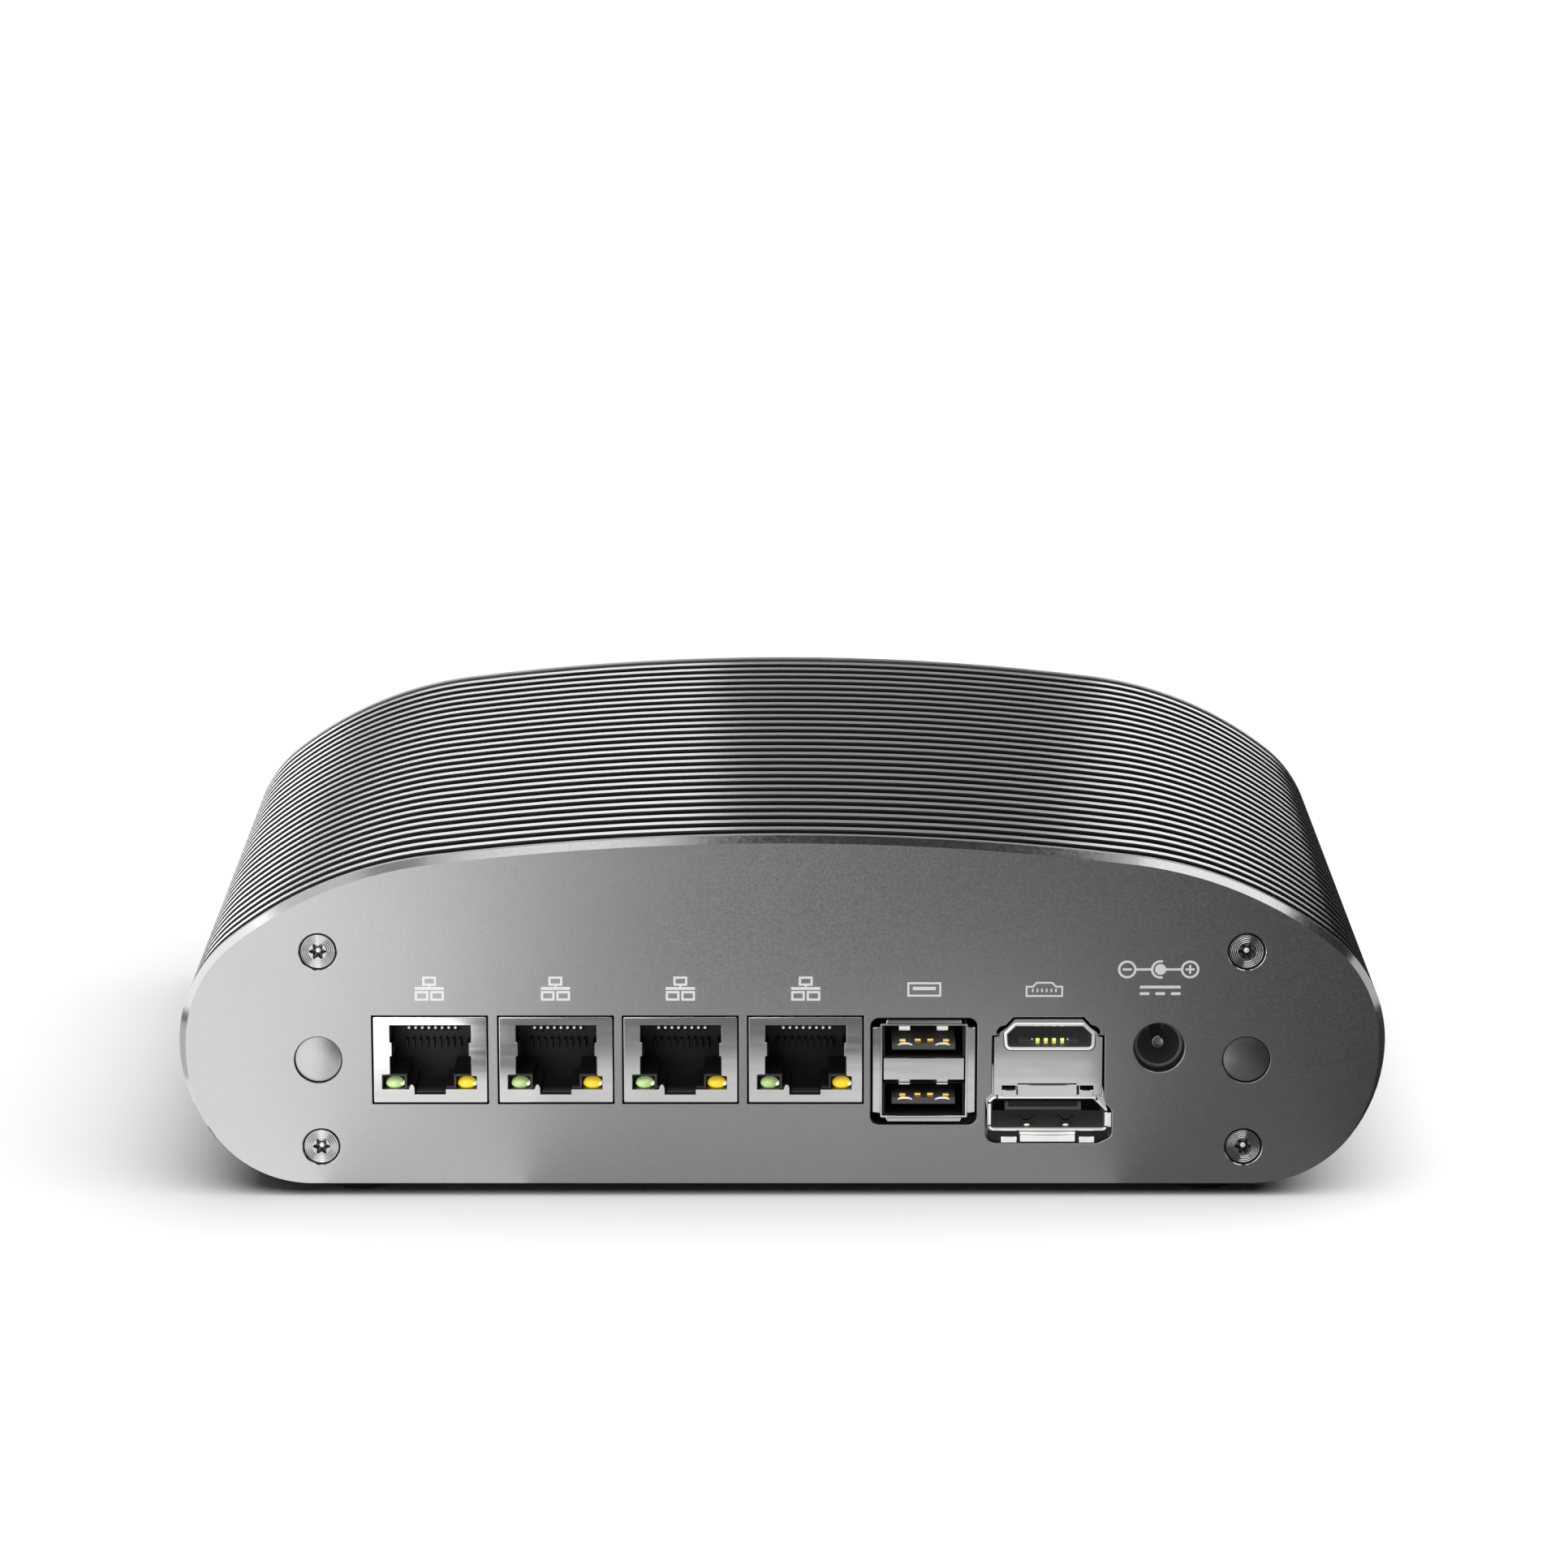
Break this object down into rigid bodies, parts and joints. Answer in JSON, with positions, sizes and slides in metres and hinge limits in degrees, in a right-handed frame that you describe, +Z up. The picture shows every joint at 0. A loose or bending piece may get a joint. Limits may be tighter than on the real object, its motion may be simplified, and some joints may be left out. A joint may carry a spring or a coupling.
{
  "type": "mini pc",
  "caption": "Fanless mini computer: arched aluminium housing with cooling fins, bevelled end panels, a row of network sockets, USB, HDMI, DisplayPort and a power inlet.",
  "frame": {"origin": "on the table under the middle of the body", "axes": "+X to the right when the sockets face the viewer, +Y from the sockets towards the power button, +Z up"},
  "size_m": [0.178, 0.126, 0.055],
  "materials": {
    "anodised_aluminium": "bead-blasted, anodised grey",
    "bright_aluminium": "satin",
    "steel_screws": "nickel-plated, turned heads",
    "rubber": "matt",
    "circuit_board": "solder mask",
    "chip_package": "moulded epoxy",
    "capacitor_can": "drawn can",
    "thermal_compound": "soft grey pad",
    "copper": "machined copper",
    "brass": "turned",
    "socket_plastic": "moulded",
    "nickel_shell": "stamped, nickel-plated",
    "gold_contacts": "gold-plated",
    "link_light": "clear green lens",
    "activity_light": "clear amber lens",
    "clear_plastic": "clear",
    "white_plastic": "moulded"
  },
  "bodies": {
    "computer": {"housing": "anodised_aluminium", "rear_panel": "anodised_aluminium", "front_panel": "anodised_aluminium", "bottom_cover": "anodised_aluminium", "rear_panel_screws": "steel_screws", "front_panel_screws": "steel_screws", "bottom_cover_screws": "steel_screws", "rubber_feet": "rubber", "aerial_plug_left": "bright_aluminium", "aerial_plug_right": "bright_aluminium", "main_board": "circuit_board", "board_screws": "steel_screws", "processor": "chip_package", "thermal_pad": "thermal_compound", "heat_spreader": "copper", "spreader_screws": "steel_screws", "power_chokes": "chip_package", "board_capacitors": "capacitor_can", "lan_controllers": "chip_package", "firmware_chip": "chip_package", "memory_slot": "socket_plastic", "memory_module": "circuit_board", "memory_chips": "chip_package", "ssd_slot": "socket_plastic", "ssd_board": "circuit_board", "ssd_chips": "chip_package", "ssd_standoff": "brass", "ssd_screw": "steel_screws", "battery_holder": "socket_plastic", "backup_battery": "capacitor_can", "lan_shield_1": "nickel_shell", "lan_shield_2": "nickel_shell", "lan_shield_3": "nickel_shell", "lan_shield_4": "nickel_shell", "lan_insert_1": "socket_plastic", "lan_insert_2": "socket_plastic", "lan_insert_3": "socket_plastic", "lan_insert_4": "socket_plastic", "lan_contacts_1": "gold_contacts", "lan_contacts_2": "gold_contacts", "lan_contacts_3": "gold_contacts", "lan_contacts_4": "gold_contacts", "link_leds": "link_light", "activity_leds": "activity_light", "usb_shell": "nickel_shell", "usb_insert": "socket_plastic", "usb_contacts": "gold_contacts", "video_shell": "nickel_shell", "hdmi_insert": "socket_plastic", "hdmi_contacts": "gold_contacts", "displayport_insert": "socket_plastic", "dc_jack_body": "socket_plastic", "dc_jack_pin": "nickel_shell", "dc_jack_spring": "nickel_shell", "power_switch": "socket_plastic", "light_pipes": "clear_plastic", "status_leds": "clear_plastic"},
    "power_button": {"power_button": "bright_aluminium", "switch_plunger": "white_plastic"}
  },
  "joints": [
    {"name": "power_button_press", "type": "slide", "parent": "computer", "child": "power_button", "axis": [0, -1, 0], "range_m": [0, 0.0005], "stiffness_N_per_m": 400, "springref_m": -0.002}
  ]
}
